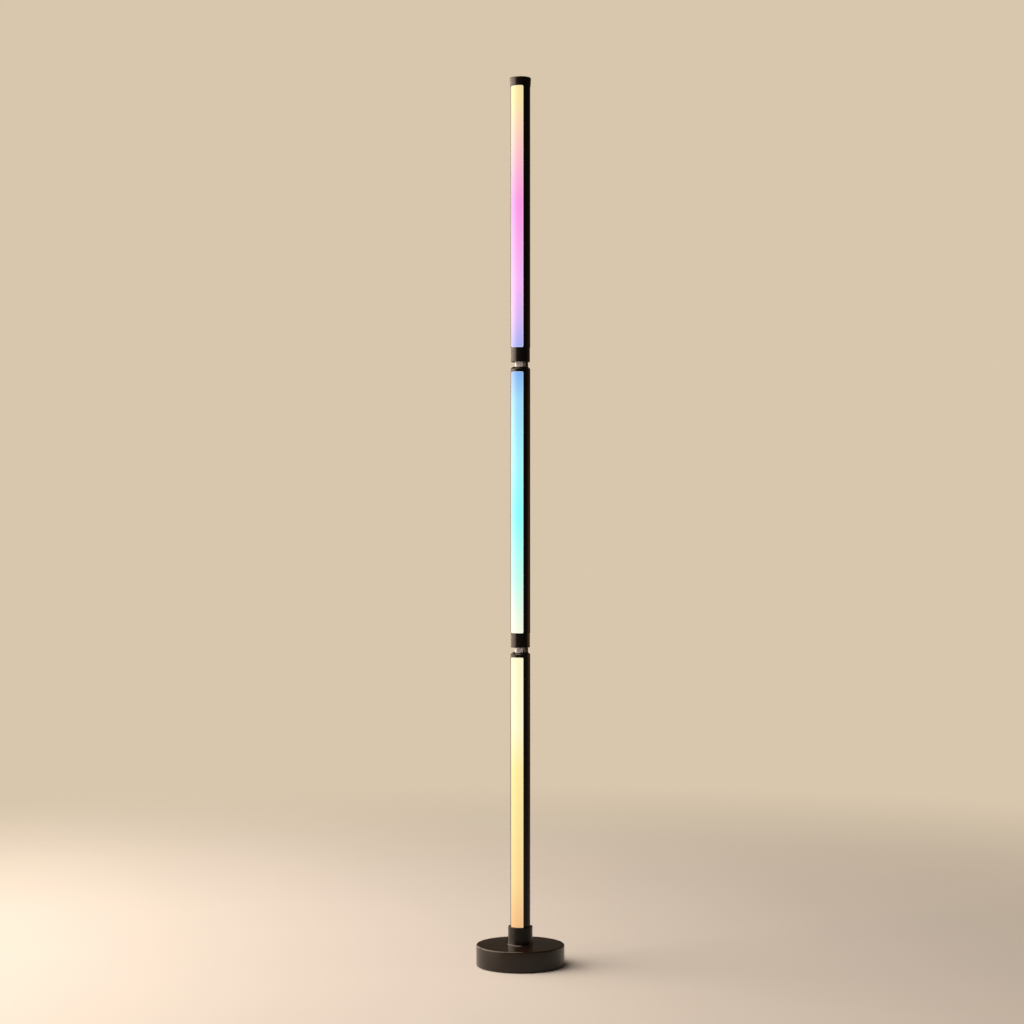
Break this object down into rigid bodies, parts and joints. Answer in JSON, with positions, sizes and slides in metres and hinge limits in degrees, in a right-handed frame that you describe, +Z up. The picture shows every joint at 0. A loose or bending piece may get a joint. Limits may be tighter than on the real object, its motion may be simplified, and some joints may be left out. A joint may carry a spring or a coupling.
{
  "type": "led floor lamp",
  "caption": "Slim floor lamp: a round weighted base carries a straight pole of black channel sections with lit opal diffusers, joined by short swivel necks.",
  "frame": {"origin": "on the floor, on the pole axis, under the centre of the round base", "axes": "+Z up the pole; the lit side faces -Y; the power inlet and button are at the back, +Y"},
  "size_m": [0.134, 0.134, 1.347],
  "materials": {
    "black_anodised": "satin black anodised extrusion",
    "black_moulding": "satin black moulded ABS",
    "base_moulding": "fine-textured black moulded ABS",
    "opal_lower": "opal extruded cover, lit",
    "opal_middle": "opal extruded cover, lit",
    "opal_upper": "opal extruded cover, lit",
    "white_board": "white solder-resist circuit board",
    "led_package": "LED packages",
    "ribbon_lead": "flat flexible lead",
    "contact_metal": "plated contact in its moulded body",
    "turned_steel": "turned and polished steel",
    "zinc_steel": "zinc-plated steel",
    "bearing_plastic": "natural acetal",
    "seal_rubber": "moulded rubber",
    "black_screw": "black-oxide steel",
    "pad_foam": "closed-cell foam sheet",
    "cast_weight": "as cast",
    "green_board": "green solder-resist circuit board",
    "component_plastic": "moulded electronic part",
    "cable_jacket": "two-core jacket"
  },
  "bodies": {
    "base": {"base_collar": "black_moulding", "base_cover": "base_moulding", "base_weight": "cast_weight", "board_parts": "component_plastic", "board_screws": "zinc_steel", "bottom_plate": "zinc_steel", "clamp_bolt": "zinc_steel", "clamp_washer": "zinc_steel", "control_board": "green_board", "dc_jack": "component_plastic", "foot_pad": "pad_foam", "lower_channel": "black_anodised", "lower_circlip": "zinc_steel", "lower_contact_plug": "contact_metal", "lower_diffuser": "opal_lower", "lower_friction_ring": "seal_rubber", "lower_joint_cap": "black_moulding", "lower_led_board": "white_board", "lower_leds": "led_package", "lower_neck": "turned_steel", "lower_plug": "black_moulding", "lower_retaining_washer": "zinc_steel", "lower_ribbon": "ribbon_lead", "lower_screws": "black_screw", "lower_stop_collar": "black_moulding", "plate_screws": "zinc_steel", "push_switch": "component_plastic", "supply_harness": "cable_jacket"},
    "middle_section": {"middle_bush": "bearing_plastic", "middle_channel": "black_anodised", "middle_circlip": "zinc_steel", "middle_contact_plug": "contact_metal", "middle_contact_socket": "contact_metal", "middle_diffuser": "opal_middle", "middle_friction_ring": "seal_rubber", "middle_joint_cap": "black_moulding", "middle_led_board": "white_board", "middle_leds": "led_package", "middle_neck": "turned_steel", "middle_retaining_washer": "zinc_steel", "middle_ribbon": "ribbon_lead", "middle_screws": "black_screw", "middle_sleeve": "black_moulding", "middle_stop_collar": "black_moulding"},
    "upper_section": {"top_cap": "black_moulding", "upper_bush": "bearing_plastic", "upper_channel": "black_anodised", "upper_contact_socket": "contact_metal", "upper_diffuser": "opal_upper", "upper_led_board": "white_board", "upper_leds": "led_package", "upper_ribbon": "ribbon_lead", "upper_screws": "black_screw", "upper_sleeve": "black_moulding"},
    "button": {"power_button": "black_moulding", "switch_plunger": "component_plastic"}
  },
  "joints": [
    {"name": "middle_swivel", "type": "hinge", "parent": "base", "child": "middle_section", "pos_m": [0, 0, 0.4825], "axis": [0, 0, 1], "range_deg": [-30, 30]},
    {"name": "upper_swivel", "type": "hinge", "parent": "middle_section", "child": "upper_section", "pos_m": [0, 0, 0.9155], "axis": [0, 0, 1], "range_deg": [-30, 30]},
    {"name": "button_press", "type": "slide", "parent": "base", "child": "button", "axis": [0, -1, 0], "range_m": [0, 0.001], "stiffness_N_per_m": 800}
  ]
}
